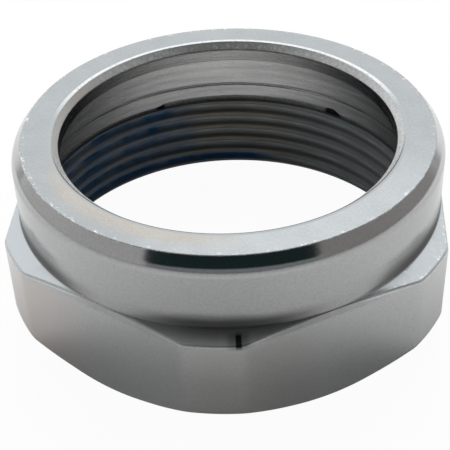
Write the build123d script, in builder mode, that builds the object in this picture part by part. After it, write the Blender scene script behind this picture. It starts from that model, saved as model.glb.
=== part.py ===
"""Threaded cap nut: a round collar with an inward lip above a hexagonal body.

The cap is one solid, open right through. The origin is the centre of the bottom
face, +Z runs up the axis, and two corners of the hexagon point along -Y and +Y.
All lengths are in millimetres.
"""

import os

from build123d import *

# Whole cap, bottom face to top face
TOTAL_HEIGHT = 15.9

# Internal thread, held here as ring grooves of the thread's own section and pitch
THREAD_MAJOR_DIAMETER = 36.0
THREAD_PITCH = 1.5
THREAD_DEPTH_PER_PITCH = 0.5413
CREST_PER_PITCH = 0.25
ROOT_PER_PITCH = 0.125
ENTRY_CLEARANCE = 0.05

# Hexagonal body around the thread, with its corners turned down to a circle
HEXAGON_SIDES = 6
FLAT_WALL = 1.0
CORNER_RISE = 1.675
BOTTOM_FACE_INSET = 0.05
BOTTOM_CHAMFER_HEIGHT = 1.6

# Round collar above the hexagon, with a ledge that falls from its foot to the corners
COLLAR_INSET = 0.1
COLLAR_HEIGHT = 6.5
COLLAR_CHAMFER = 0.9
LEDGE_FALL = 0.37

# Smooth wall above the thread, with one fine turned line in it
SMOOTH_WALL_STEP = 0.55
TURNED_LINE_DROP = 4.1
TURNED_LINE_WIDTH = 0.28
TURNED_LINE_DEPTH = 0.14

# Relief groove between the smooth wall and the thread
RELIEF_DROP = 5.9
RELIEF_WIDTH = 0.24
RELIEF_DEPTH = 0.2

# Lip that turns inward from the smooth wall at the top
LIP_WIDTH = 2.7
LIP_THICKNESS = 1.8
LIP_CHAMFER = 0.6

thread_major_radius = THREAD_MAJOR_DIAMETER / 2
thread_depth = THREAD_DEPTH_PER_PITCH * THREAD_PITCH
thread_minor_radius = thread_major_radius - thread_depth
entry_radius = thread_major_radius + ENTRY_CLEARANCE
entry_height = entry_radius - thread_minor_radius

flat_distance = thread_major_radius + FLAT_WALL
corner_radius = flat_distance + CORNER_RISE
bottom_radius = flat_distance - BOTTOM_FACE_INSET
collar_radius = flat_distance - COLLAR_INSET
collar_foot = TOTAL_HEIGHT - COLLAR_HEIGHT
ledge_rim = collar_foot - LEDGE_FALL

wall_radius = thread_major_radius - SMOOTH_WALL_STEP
lip_bore_radius = wall_radius - LIP_WIDTH
lip_underside = TOTAL_HEIGHT - LIP_THICKNESS
line_top = lip_underside - TURNED_LINE_DROP
line_bottom = line_top - TURNED_LINE_WIDTH
relief_top = lip_underside - RELIEF_DROP
relief_bottom = relief_top - RELIEF_WIDTH

groove_mouth = (1 - CREST_PER_PITCH) * THREAD_PITCH / 2
groove_root = ROOT_PER_PITCH * THREAD_PITCH / 2
groove_count = int((relief_bottom - entry_height) / THREAD_PITCH)
lowest_groove = (relief_bottom + entry_height - (groove_count - 1) * THREAD_PITCH) / 2
groove_heights = [lowest_groove + number * THREAD_PITCH for number in range(groove_count)]

with BuildPart() as cap:
    # Hexagonal bar of the lower body
    with BuildSketch(Plane.XY):
        RegularPolygon(flat_distance, HEXAGON_SIDES, major_radius=False, rotation=30)
    extrude(amount=collar_foot)

    # Turned outline of that bar: bottom chamfer, rounded corners and falling ledge
    with BuildSketch(Plane.XZ):
        with BuildLine():
            Polyline(
                (0, 0),
                (bottom_radius, 0),
                (corner_radius, BOTTOM_CHAMFER_HEIGHT),
                (corner_radius, ledge_rim),
                (collar_radius, collar_foot),
                (0, collar_foot),
                close=True,
            )
        make_face()
    revolve(axis=Axis.Z, mode=Mode.INTERSECT)

    # Collar, chamfered around its top edge
    with BuildSketch(Plane.XY.offset(collar_foot)):
        Circle(collar_radius)
    extrude(amount=COLLAR_HEIGHT)
    chamfer(cap.edges().filter_by(GeomType.CIRCLE).sort_by(Axis.Z)[-1], COLLAR_CHAMFER)

    # Stepped bore, from the thread's entry at the bottom to the lip at the top
    with BuildSketch(Plane.XZ):
        with BuildLine():
            Polyline(
                (0, 0),
                (entry_radius, 0),
                (thread_minor_radius, entry_height),
                (thread_minor_radius, relief_bottom),
                (wall_radius + RELIEF_DEPTH, relief_bottom),
                (wall_radius + RELIEF_DEPTH, relief_top),
                (wall_radius, relief_top),
                (wall_radius, line_bottom),
                (wall_radius + TURNED_LINE_DEPTH, (line_top + line_bottom) / 2),
                (wall_radius, line_top),
                (wall_radius, lip_underside),
                (lip_bore_radius, lip_underside),
                (lip_bore_radius, TOTAL_HEIGHT - LIP_CHAMFER),
                (lip_bore_radius + LIP_CHAMFER, TOTAL_HEIGHT),
                (0, TOTAL_HEIGHT),
                close=True,
            )
        make_face()
        # Each groove starts inside the bore and narrows to its root
        with Locations(*[(thread_minor_radius, height) for height in groove_heights]):
            Polygon(
                (-thread_depth, -groove_mouth),
                (0, -groove_mouth),
                (thread_depth, -groove_root),
                (thread_depth, groove_root),
                (0, groove_mouth),
                (-thread_depth, groove_mouth),
                align=None,
            )
    revolve(axis=Axis.Z, mode=Mode.SUBTRACT)

os.makedirs("parts", exist_ok=True)
cap.part.label = "cap"
export_step(cap.part, "parts/cap.step")
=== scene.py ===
"""Looks of a chrome-plated threaded cap nut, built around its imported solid.

Meshes are shaped in millimetres and scaled to metres at the end. The axis of the
cap is +Z, and two corners of its hexagon point along -Y and +Y, as in the solid.
Headings run around the axis in degrees from +X towards +Y, so the front is at -85.
"""

import logging
import math
from dataclasses import dataclass, field
from enum import Enum

import bmesh
import bpy
from mathutils import Euler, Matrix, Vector


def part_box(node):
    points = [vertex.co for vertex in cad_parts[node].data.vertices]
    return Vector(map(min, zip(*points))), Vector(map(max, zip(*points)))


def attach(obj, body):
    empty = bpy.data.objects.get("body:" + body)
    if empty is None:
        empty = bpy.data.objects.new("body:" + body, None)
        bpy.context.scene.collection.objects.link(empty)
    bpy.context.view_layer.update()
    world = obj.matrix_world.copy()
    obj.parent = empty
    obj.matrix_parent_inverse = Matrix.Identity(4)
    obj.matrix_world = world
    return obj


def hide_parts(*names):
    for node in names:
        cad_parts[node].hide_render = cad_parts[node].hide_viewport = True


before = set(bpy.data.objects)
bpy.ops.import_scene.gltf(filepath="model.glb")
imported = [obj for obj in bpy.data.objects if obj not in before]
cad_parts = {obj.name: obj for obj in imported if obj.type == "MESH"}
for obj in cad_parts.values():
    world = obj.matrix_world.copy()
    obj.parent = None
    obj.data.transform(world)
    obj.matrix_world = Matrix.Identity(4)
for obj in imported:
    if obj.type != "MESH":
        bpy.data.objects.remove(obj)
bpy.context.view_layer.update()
LOG = logging.getLogger("cap")
MM = 0.001
AXIS = (0.0, 0.0, 1.0)
CENTRE = (0.0, 0.0, 0.0)
WHITE = "#FFFFFF"

# What a node's input takes: a value, a node or one of a node's outputs
Source = object
# Named numbers. Of a mask for one side of the cap: heading, and half angles where it starts to fall and
# ends. Of any other mask: where it starts and is full, and what it gives there if not 0 and 1.
# Of a pattern: its real size in millimetres, its detail and its roughness.
Numbers = tuple[float, ...]


def linear(hex_colour: str) -> tuple[float, float, float, float]:
    """Turns an sRGB hex colour to linear.

    Args:
        hex_colour: Six hex digits after a hash sign.

    Returns:
        Linear red, green, blue and an alpha of one.
    """
    parts = [int(hex_colour[i : i + 2], 16) / 255 for i in (1, 3, 5)]
    red, green, blue = (c / 12.92 if c <= 0.04045 else ((c + 0.055) / 1.055) ** 2.4 for c in parts)
    return red, green, blue, 1.0


def radians(*angles: float) -> Numbers:
    """Turns angles from degrees to radians."""
    return tuple(math.radians(angle) for angle in angles)


def direction(heading: float) -> Numbers:
    """Gives the level direction of a heading in degrees."""
    angle = math.radians(heading)
    return math.cos(angle), math.sin(angle), 0.0


def polar(vert: bmesh.types.BMVert) -> tuple[float, float]:
    """Gives a vertex's distance from the axis and its heading in degrees."""
    return math.hypot(vert.co.x, vert.co.y), math.degrees(math.atan2(vert.co.y, vert.co.x))


def move_to(vert: bmesh.types.BMVert, radius: float) -> None:
    """Moves a vertex to a distance from the axis, along its own heading."""
    scale = radius / math.hypot(vert.co.x, vert.co.y)
    vert.co.x *= scale
    vert.co.y *= scale


def scaled(size: float, *shape: float) -> Numbers:
    """Turns a pattern's real size in millimetres into its scale, and keeps its detail and roughness."""
    return 1 / size, *shape


@dataclass(frozen=True)
class Graph:
    """Node tree of a material or of the world while it is filled."""

    tree: bpy.types.NodeTree

    def add(self, kind: str, *inputs: Source, named: dict[str, Source] | None = None,
            **settings: object) -> bpy.types.Node:
        """Adds a node with its settings and links.

        Args:
            kind: The node's type, without ShaderNode in front.
            inputs: What the node's first inputs take, in their order. A node stands for its first output.
            named: The same for inputs that are found by name.
            settings: Properties of the node itself.

        Returns:
            The new node.
        """
        node = self.tree.nodes.new("ShaderNode" + kind)
        for name, value in settings.items():
            setattr(node, name, value)
        sockets = [socket for socket in node.inputs if socket.enabled]
        pairs = list(zip(sockets, inputs))
        for name, value in (named or {}).items():
            pairs.append((next(socket for socket in sockets if socket.name == name), value))
        for socket, value in pairs:
            if isinstance(value, bpy.types.Node):
                value = next(output for output in value.outputs if output.enabled)
            if isinstance(value, bpy.types.NodeSocket):
                self.tree.links.new(value, socket)
            else:
                socket.default_value = value
        return node

    def all_of(self, *masks: Source, operation: str = "MULTIPLY") -> Source:
        """Joins masks, two at a time, to what all of them share.

        Args:
            masks: Masks or numbers.
            operation: What is done with two of them.

        Returns:
            The joined mask.
        """
        joined, *others = masks
        for mask in others:
            joined = self.add("Math", joined, mask, operation=operation)
        return joined

    def any_of(self, *masks: Source) -> Source:
        """Joins masks to what any of them has."""
        return self.all_of(*masks, operation="MAXIMUM")

    def paint(self, base: Source, *layers: tuple[Source, str]) -> Source:
        """Paints colours over a base, one after another.

        Args:
            base: The colour below.
            layers: Mask and sRGB hex colour of each layer.

        Returns:
            The painted colour.
        """
        for mask, colour in layers:
            base = self.add("Mix", mask, base, linear(colour), data_type="RGBA")
        return base

    def tone(self, base: Source, pattern: Source, limits: Numbers) -> Source:
        """Makes a colour darker and lighter with a pattern.

        Args:
            base: The colour, as a source or as linear numbers.
            pattern: Pattern or mask that the strength follows.
            limits: Two values of the pattern, and the strength of the colour at each.

        Returns:
            The toned colour.
        """
        strength = self.add("MapRange", pattern, *limits)
        colour = base[:3] if isinstance(base, tuple) else base
        return self.add("VectorMath", colour, strength, operation="SCALE")


class Surface(Enum):
    """Surfaces of the cap that differ in how they were finished, by material number."""

    OUTSIDE = 0
    TOP = 1
    EDGE = 2
    LIP_CHAMFER = 3
    LIP_BORE = 4
    WALL = 5
    THREAD = 6
    RELIEF = 7


@dataclass
class CapSizes:
    """Sizes of the cap in millimetres, as in its solid."""

    total_height: float
    across_flats: float
    corner_radius: float
    collar_radius: float = 18.9
    collar_height: float = 6.5
    collar_chamfer: float = 0.9
    ledge_fall: float = 0.37
    bottom_radius: float = 18.95
    bottom_chamfer_height: float = 1.6
    lip_radius: float = 14.75
    lip_thickness: float = 1.8
    lip_chamfer: float = 0.6
    wall_radius: float = 17.45
    line_drop: float = 4.1
    line_width: float = 0.28
    line_depth: float = 0.14
    relief_drop: float = 5.9
    relief_width: float = 0.24
    relief_depth: float = 0.2
    thread_radius: float = 18.0
    depth_per_pitch: float = 0.5413
    pitch: float = 1.5
    entry_clearance: float = 0.05

    @property
    def foot(self) -> float:
        """Height of the collar's foot."""
        return self.total_height - self.collar_height

    @property
    def underside(self) -> float:
        """Height of the lip's underside."""
        return self.total_height - self.lip_thickness

    @property
    def relief_top(self) -> float:
        """Height of the relief groove's upper edge."""
        return self.underside - self.relief_drop

    @property
    def relief_bottom(self) -> float:
        """Height of the relief groove's lower edge."""
        return self.relief_top - self.relief_width

    @property
    def lip_edge(self) -> float:
        """Radius of the edge between the top face and the lip's chamfer."""
        return self.lip_radius + self.lip_chamfer

    @property
    def minor_radius(self) -> float:
        """Radius of the thread's crests, which point to the axis."""
        return self.thread_radius - self.depth_per_pitch * self.pitch

    @property
    def entry_radius(self) -> float:
        """Radius of the threaded mouth at the bottom face."""
        return self.thread_radius + self.entry_clearance


def solid_sizes() -> CapSizes:
    """Takes the outer sizes from the frame, and keeps the others as they are in the solid.

    Returns:
        The cap's sizes.
    """
    low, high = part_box("cap")
    return CapSizes(
        total_height=high.z / MM,
        across_flats=(high.x - low.x) / MM,
        corner_radius=(high.y - low.y) / MM / 2,
    )


@dataclass(frozen=True)
class Corner:
    """Corner of the turned section: its place in millimetres and how far it is rounded."""

    radius: float
    height: float
    rounding: float = 0.0
    support: float = 0.04
    slack: float = 0.01

    def holds(self, radius: float, height: float) -> bool:
        """Tells whether a point belongs to this corner's rounding or to the support line beside it."""
        reach = self.rounding + self.support + self.slack
        return math.hypot(radius - self.radius, height - self.height) <= reach

    def support_toward(self, other: "Corner") -> "Corner":
        """Finds the point just past this corner's rounding, where a support line keeps the face flat.

        Args:
            other: The corner at the face's other end.

        Returns:
            A sharp corner on the way to the other one.
        """
        width = other.radius - self.radius
        rise = other.height - self.height
        share = (self.rounding + self.support) / math.hypot(width, rise)
        return Corner(self.radius + width * share, self.height + rise * share)


@dataclass
class CapMesh:
    """The whole cap as one closed mesh: turned body, milled flats and internal thread."""

    sizes: CapSizes
    steps: int = 360
    flat_count: int = 6
    bm: bmesh.types.BMesh = field(default_factory=bmesh.new)
    # roundings of the turned section; those over fine_rounding get more segments
    fine_rounding: float = 0.3
    foot_rounding: float = 0.09
    bottom_rounding: float = 0.12
    low_corner_rounding: float = 0.35
    rim_rounding: float = 0.18
    chamfer_rounding: float = 0.5
    crisp: float = 0.05
    lip_rounding: float = 0.08
    bore_rounding: float = 0.1
    fillet: float = 0.25
    line_rounding: float = 0.06
    relief_rounding: float = 0.04
    # the polishing wheel pulled the chamfer's lower edge down, and the burr lies around the lip's edge
    wheel_drop: float = 0.22
    burr_width: float = 0.22
    # milled flats: softness of their upright edges, and the room for roundings on the faces beside them
    vertical_edge: float = 0.1
    foot_room: float = 0.45
    rim_room: float = 0.95
    chamfer_room: float = 0.9
    # tool's line in the smooth wall: its strength at the back, and at the sides
    line_strength: float = 0.6
    line_side_depth: float = 0.3
    line_full: float = 30.0
    line_fade: float = 30.0
    wall_slack: float = 0.001
    # relief groove: the sector where it is wider, and a pit at each of that sector's ends
    band_from: float = 57.35
    band_to: float = 117.35
    band_rise: float = 0.27
    band_ramp: float = 1.5
    band_reach: float = 0.6
    edge_reach: float = 0.12
    pit_rise: float = 0.17
    pit_half: float = 2.6
    pit_depth: float = 0.25
    spot_half: float = 1.6
    spot_share: float = 0.7
    # how far a face's middle may lie from the line between two surfaces
    edge_fall: float = 0.07
    face_slack: float = 0.003
    outer_gap: float = 0.2
    rim_gap: float = 0.3
    bore_gap: float = 0.03
    step_gap: float = 0.05
    relief_reach: tuple[float, float] = (-0.4, 0.55)
    # worn thread, its place and its run-out
    crest_width: float = 0.42
    root_width: float = 0.2
    flank_steps: int = 7
    groove_height: float = 7.144
    groove_heading: float = 94.85
    fade_start: float = 60.0
    fade_end: float = 190.0
    rim_width: float = 0.12
    rim_blend: float = 0.15
    join_gap: float = 0.06
    weld: float = 0.008

    @property
    def outer_corners(self) -> tuple[Corner, Corner, Corner, Corner]:
        """Outline corners that the milled flats cut through, from the bottom face to the collar's foot."""
        s = self.sizes
        return (
            Corner(s.bottom_radius, 0.0, self.bottom_rounding),
            Corner(s.corner_radius, s.bottom_chamfer_height, self.low_corner_rounding),
            Corner(s.corner_radius, s.foot - s.ledge_fall, self.rim_rounding),
            Corner(s.collar_radius, s.foot, self.foot_rounding, 0.0),
        )

    def section(self) -> list[Corner]:
        """Lists the turned body's outline.

        Returns:
            Corners from the thread's mouth around the outside and down the bore to the thread's top.
        """
        s = self.sizes
        top = s.total_height
        line_top = s.underside - s.line_drop
        line_bottom = line_top - s.line_width
        relief_radius = s.wall_radius + s.relief_depth
        return [
            Corner(s.entry_radius, 0.0),
            *self.outer_corners,
            Corner(s.collar_radius, top - s.collar_chamfer - self.wheel_drop, self.chamfer_rounding),
            Corner(s.collar_radius - s.collar_chamfer, top, self.crisp),
            Corner(s.lip_edge + self.lip_rounding + self.burr_width, top),
            Corner(s.lip_edge, top, self.lip_rounding),
            Corner(s.lip_radius, top - s.lip_chamfer, self.bore_rounding),
            Corner(s.lip_radius, s.underside, self.bore_rounding),
            Corner(s.wall_radius, s.underside, self.fillet),
            Corner(s.wall_radius, line_top, self.line_rounding),
            Corner(s.wall_radius + s.line_depth, (line_top + line_bottom) / 2, self.line_rounding),
            Corner(s.wall_radius, line_bottom, self.line_rounding),
            Corner(s.wall_radius, s.relief_top + self.band_reach),
            Corner(s.wall_radius, s.relief_top, self.crisp),
            Corner(relief_radius, s.relief_top, self.relief_rounding),
            Corner(relief_radius, s.relief_bottom, self.relief_rounding),
            Corner(s.minor_radius, s.relief_bottom, self.crisp),
            Corner(s.minor_radius, s.relief_bottom - self.join_gap),
        ]

    def supported_section(self) -> list[Corner]:
        """Adds support lines beside the roundings of the section's longer faces.

        Returns:
            The section's corners with the points of the support lines between them.
        """
        corners = self.section()
        supported = corners[:1]
        for corner, following in zip(corners, corners[1:]):
            gap = math.hypot(following.radius - corner.radius, following.height - corner.height)
            if gap > corner.rounding + following.rounding + 4 * corner.support:
                if corner.rounding:
                    supported.append(corner.support_toward(following))
                if following.rounding:
                    supported.append(following.support_toward(corner))
            supported.append(following)
        return supported

    def turn_body(self) -> None:
        """Rounds the section's corners and spins it around the axis."""
        bm = self.bm
        corners = self.supported_section()
        verts = [bm.verts.new((corner.radius, 0.0, corner.height)) for corner in corners]
        bm.faces.new(verts)
        open_edge = bm.edges.get((verts[0], verts[-1]))
        for rounding in sorted({corner.rounding for corner in corners if corner.rounding > 0}):
            chosen = [vert for vert, corner in zip(verts, corners) if corner.rounding == rounding]
            bmesh.ops.bevel(
                bm, geom=chosen, offset=rounding, offset_type="OFFSET",
                segments=6 if rounding > self.fine_rounding else 3,
                profile=0.5, affect="VERTICES", clamp_overlap=True, material=-1,
            )
        bmesh.ops.delete(bm, geom=bm.faces[:], context="FACES_ONLY")
        bmesh.ops.delete(bm, geom=[open_edge], context="EDGES")
        bmesh.ops.spin(
            bm, geom=bm.verts[:] + bm.edges[:], cent=CENTRE, axis=AXIS, dvec=CENTRE,
            angle=math.tau, steps=self.steps, use_merge=True, use_duplicate=False,
        )

    def body_radius(self, heading: float) -> float:
        """Gives the hexagonal body's radius, soft where a flat meets a turned corner.

        Args:
            heading: Heading in degrees.

        Returns:
            The radius in millimetres.
        """
        sector = 360 / self.flat_count
        offset = (heading + sector / 2) % sector - sector / 2
        flat = self.sizes.across_flats / 2 / math.cos(math.radians(offset))
        near = max(self.vertical_edge - abs(self.sizes.corner_radius - flat), 0.0)
        return min(self.sizes.corner_radius, flat) - near ** 2 / (4 * self.vertical_edge)

    def mill_flats(self) -> None:
        """Moves the turned body's corners in to the hexagon, with roundings that its faces can hold."""
        s = self.sizes
        bottom, low, rim, foot = self.outer_corners
        chamfer_slope = s.bottom_chamfer_height / (s.corner_radius - s.bottom_radius)
        ledge_slope = s.ledge_fall / (s.corner_radius - s.collar_radius)
        for vert in self.bm.verts:
            radius, heading = polar(vert)
            corner = next((c for c in (bottom, low, rim, foot) if c.holds(radius, vert.co.z)), None)
            if corner is None:
                continue
            wall = self.body_radius(heading)
            chamfer = (wall - s.bottom_radius) * math.hypot(1, chamfer_slope)
            ledge = (wall - s.collar_radius) * math.hypot(1, ledge_slope)
            foot_share = min(1.0, self.foot_room * ledge / foot.rounding)
            if corner is foot:
                share = foot_share
                place = (foot.radius, foot.height)
            elif corner is rim:
                free = self.rim_room * ledge - foot_share * foot.rounding
                share = min(1.0, free / (rim.rounding + rim.support))
                place = (wall, s.foot - (wall - s.collar_radius) * ledge_slope)
            else:
                needed = bottom.rounding + low.rounding + 2 * low.support
                share = min(1.0, self.chamfer_room * chamfer / needed)
                place = (wall, (wall - s.bottom_radius) * chamfer_slope)
                if corner is bottom:
                    place = (bottom.radius, bottom.height)
            wanted = place[0] + share * (radius - corner.radius)
            vert.co.z = place[1] + share * (vert.co.z - corner.height)
            move_to(vert, wanted)

    def work_wall(self) -> None:
        """Fades the tool's line to the sides, and widens the relief groove where the tool bit deeper."""
        s = self.sizes
        line = s.underside - s.line_drop - s.line_width / 2
        for vert in self.bm.verts:
            radius, heading = polar(vert)
            if not s.wall_radius - self.wall_slack < radius < s.thread_radius:
                continue
            wanted = radius
            if abs(vert.co.z - line) < s.line_width:
                aside = (abs(heading - self.groove_heading) - self.line_full) / self.line_fade
                lost = min(max(aside, 0.0), 1.0) * (1 - self.line_side_depth)
                wanted = s.wall_radius + (radius - s.wall_radius) * self.line_strength * (1 - lost)
            if abs(vert.co.z - s.relief_top) < self.edge_reach:
                inside = min(heading - self.band_from, self.band_to - heading) / self.band_ramp
                pit = max(1 - abs(heading - self.band_from) / self.pit_half, 0.0) ** 0.5
                spot = max(1 - abs(heading - self.band_to) / self.spot_half, 0.0)
                vert.co.z += self.band_rise * min(max(inside, 0.0), 1.0) * (1 - pit)
                vert.co.z += (self.band_rise + self.pit_rise) * pit + self.pit_rise * self.spot_share * spot
                if radius > s.wall_radius + self.line_rounding:
                    wanted = radius + self.pit_depth * pit
            move_to(vert, wanted)

    def groove_outline(self) -> list[tuple[float, float]]:
        """Draws one pitch of the worn thread.

        Returns:
            Points from crest to crest, as radius and height above the groove's middle.
        """
        s = self.sizes
        half = s.pitch / 2
        crest = self.crest_width / 2
        flank = half - crest - self.root_width / 2
        lower = [(s.minor_radius, -half)]
        for step in range(self.flank_steps + 1):
            share = step / self.flank_steps
            swell = (1 - math.cos(math.pi * share)) / 2
            radius = s.minor_radius + (s.thread_radius - s.minor_radius) * swell
            lower.append((radius, crest - half + flank * share))
        return lower + [(radius, -height) for radius, height in reversed(lower)]

    def cut_thread(self) -> None:
        """Screws the groove's outline up the bore and trims it to the bore's length."""
        s = self.sizes
        thread = bmesh.new()
        lead = self.groove_height - s.pitch * self.groove_heading / 360
        lowest = lead % s.pitch - 2 * s.pitch
        turns = math.ceil((s.relief_bottom - lowest) / s.pitch) + 1
        outline = self.groove_outline()
        verts = [thread.verts.new((radius, 0.0, lowest + height)) for radius, height in outline]
        for first, second in zip(verts, verts[1:]):
            thread.edges.new((first, second))
        bmesh.ops.spin(
            thread, geom=thread.verts[:] + thread.edges[:], cent=CENTRE, axis=AXIS,
            dvec=(0.0, 0.0, s.pitch / self.steps), angle=math.tau,
            steps=self.steps, use_merge=False, use_duplicate=False,
        )
        one_turn = thread.verts[:] + thread.edges[:] + thread.faces[:]
        for turn in range(1, turns):
            copy = bmesh.ops.duplicate(thread, geom=one_turn)["geom"]
            copied = [part for part in copy if isinstance(part, bmesh.types.BMVert)]
            bmesh.ops.translate(thread, vec=(0.0, 0.0, s.pitch * turn), verts=copied)
        bmesh.ops.remove_doubles(thread, verts=thread.verts[:], dist=self.weld)
        for height, up in ((0.0, -1.0), (s.relief_bottom - self.join_gap, 1.0)):
            bmesh.ops.bisect_plane(
                thread, geom=thread.verts[:] + thread.edges[:] + thread.faces[:], dist=1e-5,
                plane_co=(0.0, 0.0, height), plane_no=(0.0, 0.0, up), clear_outer=True,
            )
        for vert in thread.verts:
            self.finish_thread_vertex(vert)
        scratch = bpy.data.meshes.new("thread")
        thread.to_mesh(scratch)
        thread.free()
        self.bm.from_mesh(scratch)
        bpy.data.meshes.remove(scratch)

    def finish_thread_vertex(self, vert: bmesh.types.BMVert) -> None:
        """Lets the thread run out at its top, and turns the entry chamfer into its mouth.

        Args:
            vert: A vertex of the thread's surface.
        """
        s = self.sizes
        radius, heading = polar(vert)
        swept = (heading - self.groove_heading + 180) % 360 - 180
        turn = round((vert.co.z - self.groove_height) / s.pitch - swept / 360)
        fade = (swept + 360 * turn - self.fade_start) / (self.fade_end - self.fade_start)
        below_rim = (s.relief_bottom - self.rim_width - vert.co.z) / self.rim_blend
        depth = min(max(1 - fade, 0.0), max(below_rim, 0.0), 1.0)
        wanted = s.minor_radius + (radius - s.minor_radius) * depth
        wanted = max(wanted, s.entry_radius - vert.co.z)
        if vert.is_boundary:
            heading = round(heading * self.steps / 360) * 360 / self.steps
        vert.co.xy = [wanted * part for part in direction(heading)[:2]]

    def surface_at(self, radius: float, height: float) -> Surface:
        """Names the surface that a face belongs to.

        Args:
            radius: Radius of the face's middle.
            height: Height of the face's middle.

        Returns:
            The surface.
        """
        s = self.sizes
        from_top = s.total_height - height
        relief_low, relief_high = self.relief_reach
        if abs(radius - s.lip_edge) < self.lip_rounding + self.burr_width and from_top < self.edge_fall:
            return Surface.EDGE
        if from_top < self.face_slack:
            return Surface.TOP
        above_lip = radius > s.wall_radius and height > s.underside + self.rim_gap
        if above_lip or radius > s.thread_radius + self.outer_gap:
            return Surface.OUTSIDE
        if radius < s.lip_edge and from_top < s.lip_chamfer - self.bore_gap:
            return Surface.LIP_CHAMFER
        if height > s.underside - self.step_gap:
            return Surface.LIP_BORE
        if radius > s.wall_radius + self.bore_gap and relief_low < height - s.relief_top < relief_high:
            return Surface.RELIEF
        if height > s.relief_bottom + self.step_gap:
            return Surface.WALL
        return Surface.THREAD

    def build(self) -> bpy.types.Object:
        """Makes the finished cap.

        Returns:
            The cap's object, in metres and at the origin.
        """
        bm = self.bm
        self.turn_body()
        self.mill_flats()
        self.work_wall()
        self.cut_thread()
        # the thread is welded to the body at the mouth and under the relief groove
        bmesh.ops.remove_doubles(bm, verts=bm.verts[:], dist=self.weld)
        bmesh.ops.recalc_face_normals(bm, faces=bm.faces[:])
        for face in bm.faces:
            middle = face.calc_center_median()
            face.smooth = True
            face.material_index = self.surface_at(math.hypot(middle.x, middle.y), middle.z).value
        open_count = sum(not edge.is_manifold for edge in bm.edges)
        LOG.info("cap mesh: %d faces, %d open edges", len(bm.faces), open_count)
        bmesh.ops.scale(bm, vec=(MM, MM, MM), verts=bm.verts[:])
        mesh = bpy.data.meshes.new("cap_nut")
        bm.to_mesh(mesh)
        bm.free()
        cap = bpy.data.objects.new("cap_nut", mesh)
        bpy.context.scene.collection.objects.link(cap)
        weighted = cap.modifiers.new("face normals", "WEIGHTED_NORMAL")
        weighted.weight = 100
        return cap


@dataclass(frozen=True)
class TurnedPoint(Graph):
    """Node tree of a finish, with the shaded point of the cap as a lathe sees it, in millimetres."""

    point: Source
    radius: Source
    height: Source
    outward: Source
    around: Source

    @classmethod
    def read(cls, tree: bpy.types.NodeTree) -> "TurnedPoint":
        """Works the point out from Object coordinates.

        Args:
            tree: Node tree of the finish.

        Returns:
            The point, its radius, height and outward direction, and a vector for marks that run around
            the axis: it changes by one over a millimetre of section, or over a radian around.
        """
        graph = Graph(tree)
        place = graph.add("TexCoord").outputs["Object"]
        point = graph.add("VectorMath", place, 1 / MM, operation="SCALE")
        height = graph.add("SeparateXYZ", point).outputs["Z"]
        level = graph.add("VectorMath", point, (1.0, 1.0, 0.0), operation="MULTIPLY")
        radius = graph.add("VectorMath", level, operation="LENGTH")
        outward = graph.add("VectorMath", level, operation="NORMALIZE")
        run = graph.add("Math", radius, height, operation="ADD")
        lift = graph.add("CombineXYZ", named={"Z": run})
        around = graph.add("VectorMath", outward, lift, operation="ADD")
        return cls(tree, point, radius, height, outward, around)

    def sector(self, heading: float, full: float, end: float) -> Source:
        """Masks one side of the cap.

        Args:
            heading: Heading of the sector's middle in degrees.
            full: Half angle in degrees inside which the mask is one.
            end: Half angle in degrees outside which the mask is zero.

        Returns:
            The mask.
        """
        facing = self.add("VectorMath", self.outward, direction(heading), operation="DOT_PRODUCT")
        limits = [math.cos(angle) for angle in radians(end, full)]
        return self.add("MapRange", facing, *limits, interpolation_type="SMOOTHSTEP")


@dataclass(frozen=True)
class Finish:
    """Chrome plating over turned brass, which each finish below marks in its own way."""

    name: str
    colour: str
    roughness: float
    metal: float = 1.0
    # roughness between a pattern's two ends, and the depth in millimetres to which the surface follows it
    spread: float = 0.0
    relief: float = 0.0

    def build(self) -> bpy.types.Material:
        """Makes the material.

        Returns:
            The material.
        """
        material = bpy.data.materials.new(self.name)
        material.use_nodes = True
        material.node_tree.nodes.clear()
        spot = TurnedPoint.read(material.node_tree)
        plain = {"Base Color": linear(self.colour), "Metallic": self.metal, "Roughness": self.roughness}
        spot.add("OutputMaterial", spot.add("BsdfPrincipled", named=plain | self.dress(spot)))
        return material

    def dress(self, spot: TurnedPoint) -> dict[str, Source]:
        """Gives this finish's marks.

        Args:
            spot: The point that is shaded.

        Returns:
            What the shader's inputs take in place of uniform values, by name; the plain plating has none.
        """
        return {}

    def touch(self, spot: TurnedPoint, pattern: Source, raised: Source | None = None) -> dict[str, Source]:
        """Lets a pattern change the roughness and, where the relief is deep enough to show, the surface.

        Args:
            spot: The point that is shaded.
            pattern: Noise around one half.
            raised: Pattern of the surface, where it isn't the same.

        Returns:
            The shader's roughness and normal.
        """
        lowest = self.roughness - self.spread / 2
        marks = {"Roughness": spot.add("Math", pattern, self.spread, lowest, operation="MULTIPLY_ADD")}
        if self.relief:
            bump = {"Height": raised or pattern, "Distance": self.relief * MM, "Strength": 1.0}
            marks["Normal"] = spot.add("Bump", named=bump)
        return marks


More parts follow.
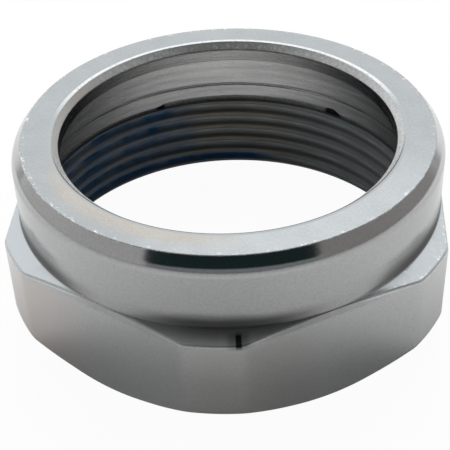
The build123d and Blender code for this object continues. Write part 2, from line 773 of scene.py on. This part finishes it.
@dataclass(frozen=True)
class PolishedChrome(Finish):
    """Bright chrome, wheel polished before plating.

    It mirrors the room, a little soft from orange peel in the plating. Low on the collar and on the front
    ledge it is painted dark and dull as shade, and the band under the ledge's rim is painted near white as
    a highlight, and the turned ledge stays satin. Rims are nicked bright.
    Heights count from the collar's foot, and distances out from the collar's side.
    """

    # painted shade: dark colour low on the collar, on the front ledge and in the corner between them
    painted_shade: str = "#5A5856"
    nick: str = "#F6F8F9"
    near_black: str = "#1E2224"
    # painted highlight: near white of the band under the ledge's rim
    rim_highlight: str = "#F4F7F8"
    brownish: str = "#9A8F84"
    warm: str = "#D2CCC8"
    blasted: str = "#C9CED1"
    foot: float = 9.4
    collar: float = 18.9
    slope: float = 0.2085
    flat: float = 19.0
    flat_headings: Numbers = (0.0, 60.0, 120.0)
    corner: float = 20.675
    # real haze and peel are too fine to show, so these are drawn coarser
    haze: Numbers = (0.22, 2.0, 0.7)
    peel: Numbers = (0.9, 1.0)
    nicks: Numbers = (0.55, 3.0, 0.65)
    nick_cut: Numbers = (0.53, 0.62)
    haze_tone: Numbers = (0.25, 0.75, 0.9, 1.07)
    collar_tone: Numbers = (0.0, 1.0, 1.0, 0.87)
    spread: float = 0.06
    relief: float = 0.004
    # strengths
    corner_shade_share: float = 0.8
    smudge_share: float = 0.45
    brownish_share: float = 0.16
    rim_highlight_share: float = 0.95
    rim_highlight_matt: float = 0.65
    edge_matt: float = 2.0
    rim_highlight_rough: float = 0.25
    painted_shade_rough: float = 0.3
    satin_least: float = 0.2
    painted_shade_share: Numbers = (0.0, 1.0, 0.15, 0.92)
    inner_tarnish: Numbers = (0.0, 1.0, 0.9, 0.42)
    centre_tarnish: Numbers = (0.0, 1.0, 0.95, 0.6)
    metal_left: Numbers = (0.0, 1.0, 1.0, 0.25)
    level_slope: Numbers = (0.1, 0.7)
    # sides of the cap
    front: Numbers = (-86.0, 0.0, 26.0)
    wide_front: Numbers = (-86.0, 8.0, 38.0)
    corner_front: Numbers = (-86.0, 0.0, 20.0)
    tarnish_centre: Numbers = (-86.0, 1.0, 13.0)
    tarnish_middle: Numbers = (-86.0, 8.0, 24.0)
    tarnish_side: Numbers = (-88.0, 28.0, 46.0)
    right_corner: Numbers = (-17.0, 4.0, 36.0)
    wide_right: Numbers = (-32.0, 10.0, 36.0)
    left_corner: Numbers = (-150.0, 10.0, 34.0)
    nicked_side: Numbers = (-28.0, 18.0, 26.0)
    all_but_front: Numbers = (90.0, 138.0, 150.0)
    brownish_side: Numbers = (-83.0, 0.0, 20.0)
    warm_side: Numbers = (-153.0, 2.0, 30.0)
    scratch: Numbers = (-84.3, 0.1, 0.8)
    smudge: Numbers = (-84.3, 0.0, 3.2)
    # heights
    above_foot: Numbers = (-0.03, 0.03)
    below_foot: Numbers = (0.03, -0.03)
    below_chamfer: Numbers = (5.5, 5.3)
    above_rim: Numbers = (-0.95, -0.4)
    on_flats: Numbers = (-0.6, -1.2)
    at_top_edge: Numbers = (6.4, 6.46)
    matt_edge: Numbers = (6.42, 6.47, 0.0, 0.35)
    painted_shade_front: Numbers = (0.2, 1.5, 1.0, 0.0)
    painted_shade_side: Numbers = (0.5, 1.8, 0.62, 0.0)
    painted_shade_thin: Numbers = (0.05, 0.6, 0.6, 1.0)
    dull_front: Numbers = (0.4, 2.2, 0.3, 0.0)
    dull_side: Numbers = (1.4, 3.2, 0.25, 0.0)
    satin_ledge: Numbers = (0.3, -0.1, 0.0, 0.31)
    corner_shade_height: float = 0.13
    # distances out from the collar
    in_corner: Numbers = (0.24, 0.1)
    painted_shade_out: Numbers = (0.1, 1.3, 0.55, 0.0)
    outside_collar: Numbers = (0.12, 0.4)
    scratch_start: Numbers = (0.3, 0.8)
    tarnish_out: Numbers = (0.0, 1.5)
    # fall from the ledge's plane: the painted highlight band under its rim, and its upper side where it was
    # knocked
    under_ledge: Numbers = (0.005, -0.03)
    in_rim_band: Numbers = (-0.3, -0.18)
    on_ledge: Numbers = (-0.06, -0.02)
    near_edge: tuple[float, float] = (0.5, 0.25)

    def wear(self, spot: TurnedPoint, out: Source, above: Source) -> tuple[Source, Source]:
        """Finds the knocked parts of the ledge's rim, and the band under it that is painted as a highlight.

        Args:
            spot: The point that is shaded.
            out: Its distance out from the collar.
            above: Its height above the collar's foot.

        Returns:
            Mask of the edges that have nicks, and mask of the band under the rim that is painted near white
            and matt as a highlight.
        """
        across = [
            spot.add("VectorMath", spot.point, direction(heading), operation="DOT_PRODUCT")
            for heading in self.flat_headings
        ]
        across = [spot.add("Math", distance, operation="ABSOLUTE") for distance in across]
        fall = spot.add("Math", out, self.slope, above, operation="MULTIPLY_ADD")
        start, full = self.near_edge
        outside = spot.add("MapRange", out, *self.outside_collar)
        knocked = spot.all_of(
            spot.any_of(
                spot.add("MapRange", spot.any_of(*across), self.flat - start, self.flat - full),
                spot.add("MapRange", spot.radius, self.corner - start, self.corner - full),
            ),
            spot.add("MapRange", fall, *self.on_ledge),
            spot.add("MapRange", above, *self.below_foot),
        )
        band = spot.all_of(
            spot.add("MapRange", fall, *self.under_ledge),
            spot.add("MapRange", fall, *self.in_rim_band),
            outside,
        )
        # painted highlight: the band under the rim, on all but the front
        rim_highlight = spot.all_of(band, spot.sector(*self.all_but_front))
        rim = spot.any_of(band, knocked)
        rim = spot.all_of(rim, outside, spot.sector(*self.nicked_side))
        return spot.any_of(rim, spot.add("MapRange", above, *self.at_top_edge)), rim_highlight

    def dress(self, spot: TurnedPoint) -> dict[str, Source]:
        """Adds orange peel, painted shade at the foot, the satin ledge, nicked rims and a painted highlight
        band.

        Args:
            spot: The point that is shaded.

        Returns:
            The shader's colour, metal share, roughness and normal.
        """
        above = spot.add("Math", spot.height, self.foot, operation="SUBTRACT")
        out = spot.add("Math", spot.radius, self.collar, operation="SUBTRACT")
        front, wide_front = spot.sector(*self.front), spot.sector(*self.wide_front)
        left_corner = spot.sector(*self.left_corner)
        below_foot = spot.add("MapRange", above, *self.below_foot)
        above_rim, painted_shade_front, painted_shade_side, dull_front, dull_side = (
            spot.add("MapRange", above, *limits, interpolation_type="SMOOTHSTEP")
            for limits in (self.above_rim, self.painted_shade_front, self.painted_shade_side, self.dull_front, self.dull_side)
        )
        on_collar = spot.all_of(
            spot.add("MapRange", above, *self.above_foot),
            spot.add("MapRange", above, *self.below_chamfer),
        )

        # painted shade: dark and dull low on the collar, and on the ledge at the front corner, where it
        # thins outwards
        front_share = spot.add("MapRange", front, *self.painted_shade_share)
        corners = spot.any_of(spot.sector(*self.right_corner), left_corner)
        rising = spot.any_of(
            spot.all_of(painted_shade_front, front_share, wide_front),
            spot.all_of(painted_shade_side, corners),
        )
        rising = spot.all_of(rising, spot.add("MapRange", above, *self.painted_shade_thin), on_collar)
        outwards = spot.add("MapRange", out, *self.painted_shade_out)
        lens = spot.all_of(outwards, front, below_foot, above_rim)
        # painted shade in the front of the corner between collar and ledge
        near_foot = spot.add("Math", above, 0.0, self.corner_shade_height, operation="COMPARE")
        in_corner = spot.add("MapRange", out, *self.in_corner)
        corner_shade = spot.all_of(near_foot, in_corner, spot.sector(*self.corner_front), self.corner_shade_share)
        painted_shade = spot.any_of(rising, lens, corner_shade)
        # a dark radial line across the front ledge, with a fainter band beside it
        scratch = spot.add("Math", spot.sector(*self.smudge), self.smudge_share, spot.sector(*self.scratch),
                           operation="MULTIPLY_ADD", use_clamp=True)
        scratch_start = spot.add("MapRange", out, *self.scratch_start)
        scratch = spot.all_of(scratch, scratch_start, above_rim)
        # nicks: bright specks where something knocked the ledge's rim and the collar's top edge
        specks = spot.add("TexNoise", spot.point, *scaled(*self.nicks))
        edges, rim_highlight = self.wear(spot, out, above)
        nicks = spot.all_of(edges, spot.add("MapRange", specks, *self.nick_cut))

        # colour: haze of a few percent, greyer on the collar, tinted brownish at the front and warm at the
        # left of the flats
        haze = spot.add("TexNoise", spot.point, *scaled(*self.haze))
        plating = spot.tone(linear(self.colour), haze, self.haze_tone)
        plating = spot.tone(plating, on_collar, self.collar_tone)
        on_flats = spot.add("MapRange", above, *self.on_flats)
        normal = spot.add("NewGeometry").outputs["Normal"]
        level = spot.add("MapRange", spot.add("SeparateXYZ", normal).outputs["Z"], *self.level_slope)
        ledge = spot.all_of(level, below_foot, spot.sector(*self.all_but_front))
        colour = spot.paint(
            plating,
            (spot.all_of(spot.sector(*self.brownish_side), on_flats, self.brownish_share), self.brownish),
            (spot.all_of(spot.sector(*self.warm_side), on_flats), self.warm),
            (ledge, self.blasted),
            (painted_shade, self.painted_shade),
            (scratch, self.near_black),
            (spot.all_of(rim_highlight, self.rim_highlight_share), self.rim_highlight),
            (nicks, self.nick),
        )

        # roughness: polished, satin on the ledge, dull in the painted shade and at the knocked edges
        least = self.satin_least
        satin_share = spot.add("Math", front, 1 - least, least, operation="MULTIPLY_ADD")
        satin = spot.all_of(spot.add("MapRange", above, *self.satin_ledge), level, satin_share)
        wide_corners = spot.any_of(spot.sector(*self.wide_right), left_corner)
        dull = spot.any_of(
            spot.all_of(dull_side, wide_corners),
            spot.all_of(dull_front, wide_front),
        )
        matt_edge = spot.add("MapRange", above, *self.matt_edge)
        marks = self.touch(spot, haze, spot.add("TexNoise", spot.point, *scaled(*self.peel)))
        dull = spot.all_of(dull, on_collar)
        rough = spot.all_of(marks["Roughness"], satin, dull, matt_edge, operation="ADD")
        for mask, share in ((painted_shade, self.painted_shade_rough), (rim_highlight, self.rim_highlight_rough)):
            rough = spot.add("Math", mask, share, rough, operation="MULTIPLY_ADD")

        # knocked edges, the painted highlight band and the tarnished front ledge scatter light as a matt
        # surface does
        inner_share = spot.add("MapRange", spot.sector(*self.tarnish_middle), *self.inner_tarnish)
        tarnish = spot.all_of(
            spot.add("MapRange", out, *self.tarnish_out, inner_share),
            spot.add("MapRange", spot.sector(*self.tarnish_centre), *self.centre_tarnish),
            spot.sector(*self.tarnish_side), above_rim, below_foot,
        )
        worn_and_highlight = spot.all_of(rim_highlight, self.rim_highlight_matt)
        worn_and_highlight = spot.add("Math", matt_edge, self.edge_matt, worn_and_highlight, operation="MULTIPLY_ADD")
        metal = spot.add("MapRange", spot.any_of(worn_and_highlight, tarnish), *self.metal_left)
        return {**marks, "Base Color": colour, "Metallic": metal, "Roughness": rough}


@dataclass(frozen=True)
class SatinChrome(Finish):
    """Chrome over a faced and lightly blasted ring.

    The eye gets an even pale sheen with a fine grain. Its inner part at the front left is painted warm as a
    reflection of warm things in the room, and the front is painted a little brighter as light.
    """

    warm: str = "#D6CDC1"
    bright: str = "#D2D6D8"
    # real grain is too fine to show, so it is drawn coarser
    grain: Numbers = (0.3, 2.0, 0.7)
    clouds: Numbers = (2.2,)
    nicks: Numbers = (0.625, 3.0, 0.7)
    nick_cut: Numbers = (0.58, 0.66)
    grain_weight: float = 1.6
    shades: Numbers = (0.9, 1.7, 0.91, 1.05)
    spread: float = 0.16
    relief: float = 0.005
    front: Numbers = (-62.0, 15.0, 60.0)
    left: Numbers = (-119.0, 18.0, 42.0)
    warm_ring: Numbers = (15.7, 17.7, 0.8, 0.0)
    edge_ring: Numbers = (17.6, 17.9)

    def dress(self, spot: TurnedPoint) -> dict[str, Source]:
        """Adds grain, clouds, the painted warm reflection and light at the front, and nicks at the outer
        edge.

        Args:
            spot: The point that is shaded.

        Returns:
            The shader's colour, roughness and normal.
        """
        grain = spot.add("TexNoise", spot.point, *scaled(*self.grain))
        clouds = spot.add("TexNoise", spot.point, *scaled(*self.clouds))
        specks = spot.add("TexNoise", spot.point, *scaled(*self.nicks))
        warm_ring = spot.add("MapRange", spot.radius, *self.warm_ring, interpolation_type="SMOOTHSTEP")
        edge_ring = spot.add("MapRange", spot.radius, *self.edge_ring)
        # painted light on the front, and a painted warm reflection on the inner part at the front left
        base = spot.paint(
            linear(self.colour),
            (spot.sector(*self.front), self.bright),
            (spot.all_of(spot.sector(*self.left), warm_ring), self.warm),
        )
        both = spot.add("Math", grain, self.grain_weight, clouds, operation="MULTIPLY_ADD")
        base = spot.tone(base, both, self.shades)
        nicks = spot.all_of(spot.add("MapRange", specks, *self.nick_cut), edge_ring)
        return {"Base Color": spot.paint(base, (nicks, WHITE)), **self.touch(spot, grain)}


@dataclass(frozen=True)
class NickedHighlightEdge(Finish):
    """Edge between the top face and the lip's chamfer.

    At the back it is painted white in patches, a painted highlight with nicks in it. Elsewhere it is as
    satin as the face, with a line of painted shade at the front where it turns into the hole.
    """

    painted_edge_shade: str = "#5E5953"
    nicks: Numbers = (0.45, 3.0, 0.7)
    patches: Numbers = (0.33, 0.5, 0.5, 1.0)
    spread: float = 0.2
    relief: float = 0.01
    front: Numbers = (-85.0, 60.0, 85.0)
    back: Numbers = (94.85, 62.0, 84.0)
    rolled_ring: Numbers = (15.47, 15.37)

    def dress(self, spot: TurnedPoint) -> dict[str, Source]:
        """Adds the painted highlight with nicks on the back half and the painted shade line at the front.

        Args:
            spot: The point that is shaded.

        Returns:
            The shader's colour, roughness and normal.
        """
        nicks = spot.add("TexNoise", spot.point, *scaled(*self.nicks))
        patchy_highlight = spot.add("MapRange", nicks, *self.patches)
        rolled = spot.add("MapRange", spot.radius, *self.rolled_ring)
        # painted shade line at the front, and a painted highlight with nicks at the back
        colour = spot.paint(
            linear(self.colour),
            (spot.all_of(spot.sector(*self.front), rolled), self.painted_edge_shade),
            (spot.all_of(spot.sector(*self.back), patchy_highlight), WHITE),
        )
        return {"Base Color": colour, **self.touch(spot, nicks)}


@dataclass(frozen=True)
class ScrapedLipChamfer(Finish):
    """Chamfer of the hole, scraped by a hand deburring tool and thinly plated.

    Chatter leaves it rough and pale, so that it scatters some light like a matt surface, with bright specks
    and one darker patch at the back.
    """

    patch: str = "#D4D0CA"
    shaded: str = "#C9C7C4"
    # real chatter is too fine to show, so it is drawn coarser
    chatter: Numbers = (0.3, 3.0, 0.65)
    specks: Numbers = (0.4, 4.0, 0.75)
    speck_cut: Numbers = (0.52, 0.57)
    ragged: Numbers = (0.3, 0.55)
    shades: Numbers = (0.3, 0.7, 0.75, 1.1)
    spread: float = 0.3
    relief: float = 0.03
    left: Numbers = (178.0, 8.0, 42.0)
    patch_side: Numbers = (93.0, 7.0, 22.0)
    speck_side: Numbers = (92.0, 34.0, 48.0)
    speck_height: Numbers = (15.75, 15.6)

    def dress(self, spot: TurnedPoint) -> dict[str, Source]:
        """Adds chatter, specks and the darker patch.

        Args:
            spot: The point that is shaded.

        Returns:
            The shader's colour, roughness and normal.
        """
        chatter = spot.add("TexNoise", spot.point, *scaled(*self.chatter))
        specks = spot.add("TexNoise", spot.point, *scaled(*self.specks))
        ragged = spot.add("MapRange", chatter, *self.ragged)
        bright = spot.all_of(
            spot.add("MapRange", specks, *self.speck_cut),
            spot.add("MapRange", spot.height, *self.speck_height),
            spot.sector(*self.speck_side),
        )
        colour = spot.paint(
            spot.tone(linear(self.colour), chatter, self.shades),
            (spot.sector(*self.left), self.shaded),
            (spot.all_of(spot.sector(*self.patch_side), ragged), self.patch),
            (bright, WHITE),
        )
        return {"Base Color": colour, **self.touch(spot, chatter)}


@dataclass(frozen=True)
class TurnedBore(Finish):
    """Bore left as the boring tool cut it, with thin plating.

    Fine rings run around it. Its sides are painted darker than the back as shade.
    """

    # painted shade: colour of the sides, darker than the back
    side: str = "#8A8785"
    # the tool's real rings are too fine to show, so they are drawn coarser
    rings: Numbers = (0.16, 1.0)
    coarse_rings: Numbers = (0.5, 0.0)
    ring_range: tuple[float, float] = (0.7, 1.3)
    spread: float = 0.16
    relief: float = 0.004
    back: float = 96.0
    middle: float = 25.0
    edge: float = 75.0
    depth: float = 0.16

    def dress(self, spot: TurnedPoint) -> dict[str, Source]:
        """Adds the tool's rings and the painted shade at the sides.

        Args:
            spot: The point that is shaded.

        Returns:
            The shader's colour, roughness and normal.
        """
        fine = spot.add("TexNoise", spot.around, *scaled(*self.rings))
        coarse = spot.add("TexNoise", spot.around, *scaled(*self.coarse_rings))
        rings = spot.add("Math", fine, coarse, operation="ADD")
        base = spot.paint(linear(self.side), (spot.sector(self.back, self.middle, self.edge), self.colour))
        base = spot.tone(base, rings, (*self.ring_range, 1 - self.depth, 1 + self.depth))
        return {"Base Color": base, **self.touch(spot, fine, rings)}


@dataclass(frozen=True)
class ShadedRelief(Finish):
    """Relief groove between the smooth wall and the thread, thinly plated and dull.

    The two pits where the tool bit deeper are painted black as shade, and its sides are painted darker as
    shade.
    """

    # painted shade: colour of the sides, darker than the back
    side: str = "#A8A9AA"
    near_black: str = "#121415"
    # real grains are too fine to show, so they are drawn coarser
    grain: Numbers = (0.3, 2.0)
    shades: Numbers = (0.3, 0.7, 0.8, 1.15)
    spread: float = 0.2
    back: Numbers = (96.0, 35.0, 60.0)
    right_pit: Numbers = (57.35, 2.0, 3.8)
    left_pit: Numbers = (117.35, 0.6, 2.0)

    def dress(self, spot: TurnedPoint) -> dict[str, Source]:
        """Adds the painted shade at the sides, the grain and the painted shade in the two pits.

        Args:
            spot: The point that is shaded.

        Returns:
            The shader's colour and roughness.
        """
        grain = spot.add("TexNoise", spot.point, *scaled(*self.grain))
        base = spot.paint(linear(self.side), (spot.sector(*self.back), self.colour))
        base = spot.tone(base, grain, self.shades)
        # painted shade: the two pits are painted near black
        pits = spot.any_of(spot.sector(*self.right_pit), spot.sector(*self.left_pit))
        return {"Base Color": spot.paint(base, (pits, self.near_black)), **self.touch(spot, grain)}


@dataclass(frozen=True)
class ThreadChrome(Finish):
    """Cut thread that the plating only partly covered.

    Crests are warm at the left of the back and grey elsewhere, and the grooves stay dull. A blue tone lies
    in the grooves at the left of the back and along the mouth, and the mouth is brownish at the left of the
    back.
    """

    crest: str = "#A19A91"
    plated_crest: str = "#9EA2A3"
    blue: str = "#4E8ABC"
    mouth: str = "#B09678"
    # the tool's real rings are too fine to show, so they are drawn coarser
    rings: Numbers = (0.2, 2.0)
    clouds: Numbers = (2.857, 2.0)
    cloud_range: Numbers = (0.35, 0.6, 0.45, 1.0)
    shades: Numbers = (0.3, 0.7, 0.8, 1.15)
    spread: float = 0.2
    relief: float = 0.006
    crest_share: float = 0.45
    crest_metal: float = 0.05
    groove_metal: float = -0.5
    depths: Numbers = (17.45, 17.95)
    blue_side: Numbers = (143.0, 24.0, 42.0)
    blue_low: Numbers = (103.0, 16.0, 30.0)
    low_height: Numbers = (2.6, 1.2)
    warm_side: Numbers = (130.0, 40.0, 75.0)
    brown_side: Numbers = (140.0, 25.0, 45.0)
    mouth_height: Numbers = (0.35, 0.1)

    def dress(self, spot: TurnedPoint) -> dict[str, Source]:
        """Adds warm crests, blue grooves and the brownish mouth.

        Args:
            spot: The point that is shaded.

        Returns:
            The shader's colour, metal share, roughness and normal.
        """
        deep = spot.add("MapRange", spot.radius, *self.depths, interpolation_type="SMOOTHSTEP")
        low = spot.add("MapRange", spot.height, *self.low_height)
        clouds = spot.add("TexNoise", spot.point, *scaled(*self.clouds))
        low = spot.all_of(low, spot.sector(*self.blue_low))
        tint = spot.any_of(spot.sector(*self.blue_side), low)
        tint = spot.all_of(tint, spot.add("MapRange", clouds, *self.cloud_range))
        groove = spot.paint(linear(self.colour), (tint, self.blue))
        crest = spot.paint(
            linear(self.plated_crest),
            (spot.sector(*self.warm_side), self.crest),
            (spot.all_of(tint, self.crest_share), self.blue),
        )
        base = spot.add("Mix", deep, crest, groove, data_type="RGBA")
        at_mouth = spot.add("MapRange", spot.height, *self.mouth_height)
        at_mouth = spot.all_of(at_mouth, spot.sector(*self.brown_side))
        rings = spot.add("TexNoise", spot.around, *scaled(*self.rings))
        metals = (self.metal + self.crest_metal, self.metal + self.groove_metal)
        return {
            "Base Color": spot.tone(spot.paint(base, (at_mouth, self.mouth)), rings, self.shades),
            "Metallic": spot.add("MapRange", deep, 0.0, 1.0, *metals),
            **self.touch(spot, rings),
        }


@dataclass
class Studio:
    """Small product studio: paper floor, lit back sheet, darker sides and a dark camera side."""

    view_heading: float = 4.85
    floor_half: float = 1.5
    floor_drop: float = 0.02
    paper_colour: str = "#E6E6E5"
    seen_paper: float = 0.04
    glossy_glow: float = 0.1
    back: str = "#FCFEFF"
    left: str = "#C1C0BF"
    right: str = "#999795"
    camera_side: str = "#7C7F80"
    dark: str = "#1D2A29"
    # headings from the camera in degrees where the back sheet starts and is full, and where the side
    # walls are brightest; half width of their meeting line
    back_angles: tuple[float, float] = (114.0, 144.0)
    side_angles: tuple[float, float] = (60.0, 115.0)
    side_front_share: float = 0.82
    side_blend: float = 0.25
    # dark strip over the camera: degrees up from the floor where it starts, is full and ends
    strip_angles: tuple[float, float] = (18.0, 30.0)
    strip_end: float = 97.0
    strip_end_blend: float = 2.0
    strip_half: float = 0.585
    strip_low_half: float = 0.66
    strip_even: float = 52.0
    strip_blend: float = 0.018
    lamp_place: tuple[float, float, float] = (0.0, 142.0, 160.0)
    lamp_size: float = 0.17
    lamp_power: float = 0.44

    def floor(self) -> bpy.types.Object:
        """Makes the pale paper floor.

        Returns:
            The floor's object.
        """
        bm = bmesh.new()
        bmesh.ops.create_grid(bm, x_segments=1, y_segments=1, size=self.floor_half)
        mesh = bpy.data.meshes.new("floor")
        bm.to_mesh(mesh)
        bm.free()
        floor = bpy.data.objects.new("floor", mesh)
        floor.location.z = -self.floor_drop * MM
        bpy.context.scene.collection.objects.link(floor)
        material = bpy.data.materials.new("white paper sweep")
        material.use_nodes = True
        material.node_tree.nodes.clear()
        graph = Graph(material.node_tree)
        path = graph.add("LightPath").outputs
        seen = graph.any_of(path["Is Camera Ray"], path["Is Transmission Ray"])
        white = graph.any_of(
            graph.all_of(seen, 1 - self.seen_paper),
            graph.all_of(path["Is Glossy Ray"], self.glossy_glow),
        )
        paper = graph.add("BsdfDiffuse", linear(self.paper_colour))
        glow = graph.add("Emission", linear(WHITE), 1.0)
        graph.add("OutputMaterial", graph.add("MixShader", white, paper, glow))
        mesh.materials.append(material)
        return floor

    def lamp(self) -> bpy.types.Object:
        """Hangs the soft lamp above and behind the cap, which lights the paper and not the metal.

        Returns:
            The lamp's object.
        """
        data = bpy.data.lights.new("soft lamp", "AREA")
        data.size = self.lamp_size
        data.energy = self.lamp_power
        lamp = bpy.data.objects.new("soft lamp", data)
        lamp.location = Vector(self.lamp_place) * MM
        lamp.rotation_euler = (-lamp.location).to_track_quat("-Z", "Y").to_euler()
        lamp.visible_glossy = False
        lamp.visible_camera = False
        bpy.context.scene.collection.objects.link(lamp)
        return lamp

    def world(self) -> None:
        """Draws the room that the metal mirrors: back sheet, sides and a dark strip behind the camera."""
        world = bpy.data.worlds.new("studio room")
        world.use_nodes = True
        bpy.context.scene.world = world
        world.node_tree.nodes.clear()
        graph = Graph(world.node_tree)
        turned = graph.add("VectorRotate", named={
            "Vector": graph.add("TexCoord").outputs["Generated"], "Angle": math.radians(-self.view_heading),
        }, rotation_type="Z_AXIS")
        axes = graph.add("SeparateXYZ", turned).outputs
        away = graph.add("Math", axes["Y"], -1.0, operation="MULTIPLY")
        width = graph.add("Math", axes["X"], operation="ABSOLUTE")
        heading = graph.add("Math", width, away, operation="ARCTAN2")
        over = graph.add("Math", axes["Z"], away, operation="ARCTAN2")
        widths = (self.strip_low_half, self.strip_half)
        half = graph.add("MapRange", over, *radians(0.0, self.strip_even), *widths)
        beyond = graph.add("Math", width, half, operation="SUBTRACT")
        ends = (self.strip_end + self.strip_end_blend, self.strip_end - self.strip_end_blend)
        is_right, is_back, toward_front, is_over_camera, in_width, before_end = (
            graph.add("MapRange", value, *limits, interpolation_type="SMOOTHSTEP")
            for value, limits in (
                (axes["X"], (-self.side_blend, self.side_blend)),
                (heading, radians(*self.back_angles)),
                (heading, (*radians(*self.side_angles), self.side_front_share, 1.0)),
                (over, radians(*self.strip_angles)),
                (beyond, (self.strip_blend, -self.strip_blend)),
                (over, radians(*ends)),
            )
        )
        side = graph.paint(linear(self.left), (is_right, self.right))
        side = graph.add("VectorMath", side, toward_front, operation="SCALE")
        walls = graph.paint(side, (is_back, self.back))
        strip = graph.paint(linear(self.camera_side), (is_over_camera, self.dark))
        is_strip = graph.all_of(in_width, before_end)
        room = graph.add("Background", graph.add("Mix", is_strip, walls, strip, data_type="RGBA"), 1.0)
        white = graph.add("Background", linear(WHITE), 1.0)
        path = graph.add("LightPath").outputs
        seen = graph.any_of(path["Is Camera Ray"], path["Is Transmission Ray"])
        graph.add("OutputWorld", graph.add("MixShader", seen, room, white))


@dataclass(frozen=True)
class Viewpoint:
    """Camera that was fitted to the photograph's circles and edges."""

    location: tuple[float, float, float] = (7.0698, -83.3195, 68.8909)
    turn: tuple[float, float, float] = (52.5862, 1.7863, 3.8425)
    lens: float = 90.463
    sensor: float = 36.0

    def build(self) -> bpy.types.Object:
        """Makes the scene's camera.

        Returns:
            The camera's object.
        """
        data = bpy.data.cameras.new("camera")
        data.lens = self.lens
        data.sensor_width = self.sensor
        data.clip_start = MM
        camera = bpy.data.objects.new("camera", data)
        camera.location = Vector(self.location) * MM
        camera.rotation_euler = Euler(radians(*self.turn), "XYZ")
        bpy.context.scene.collection.objects.link(camera)
        bpy.context.scene.camera = camera
        return camera


def main() -> None:
    """Builds the cap, its finishes, the studio and the camera."""
    logging.basicConfig(level=logging.INFO, format="%(name)s: %(message)s")
    bpy.context.scene.view_settings.view_transform = "Standard"
    Viewpoint().build()
    studio = Studio()
    studio.floor()
    studio.lamp()
    studio.world()
    cap = CapMesh(solid_sizes()).build()
    finishes = {
        Surface.OUTSIDE: PolishedChrome("polished chrome", "#CBCBCC", 0.11),
        Surface.TOP: SatinChrome("satin chrome", "#C0C4C6", 0.26),
        Surface.EDGE: NickedHighlightEdge("nicked highlight edge", "#C0C4C6", 0.25),
        Surface.LIP_CHAMFER: ScrapedLipChamfer("scraped lip chamfer", "#EEEFEF", 0.5, 0.75),
        # the bore's and the wall's sides are painted darker as shade
        Surface.LIP_BORE: TurnedBore(
            "turned lip bore", "#B3B2B1", 0.27, side="#7A7978", middle=20.0, edge=80.0,
        ),
        Surface.WALL: TurnedBore("turned wall", "#CDCCCC", 0.26, side="#717273"),
        Surface.THREAD: ThreadChrome("thread chrome", "#E2E5E7", 0.55, 0.75),
        Surface.RELIEF: ShadedRelief("relief groove", "#B5B5B4", 0.5, 0.3),
    }
    for surface in Surface:
        cap.data.materials.append(finishes[surface].build())
    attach(cap, "root")
    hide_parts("cap")
    LOG.info("%s is dressed", cap.name)


if __name__ == "__main__":
    main()
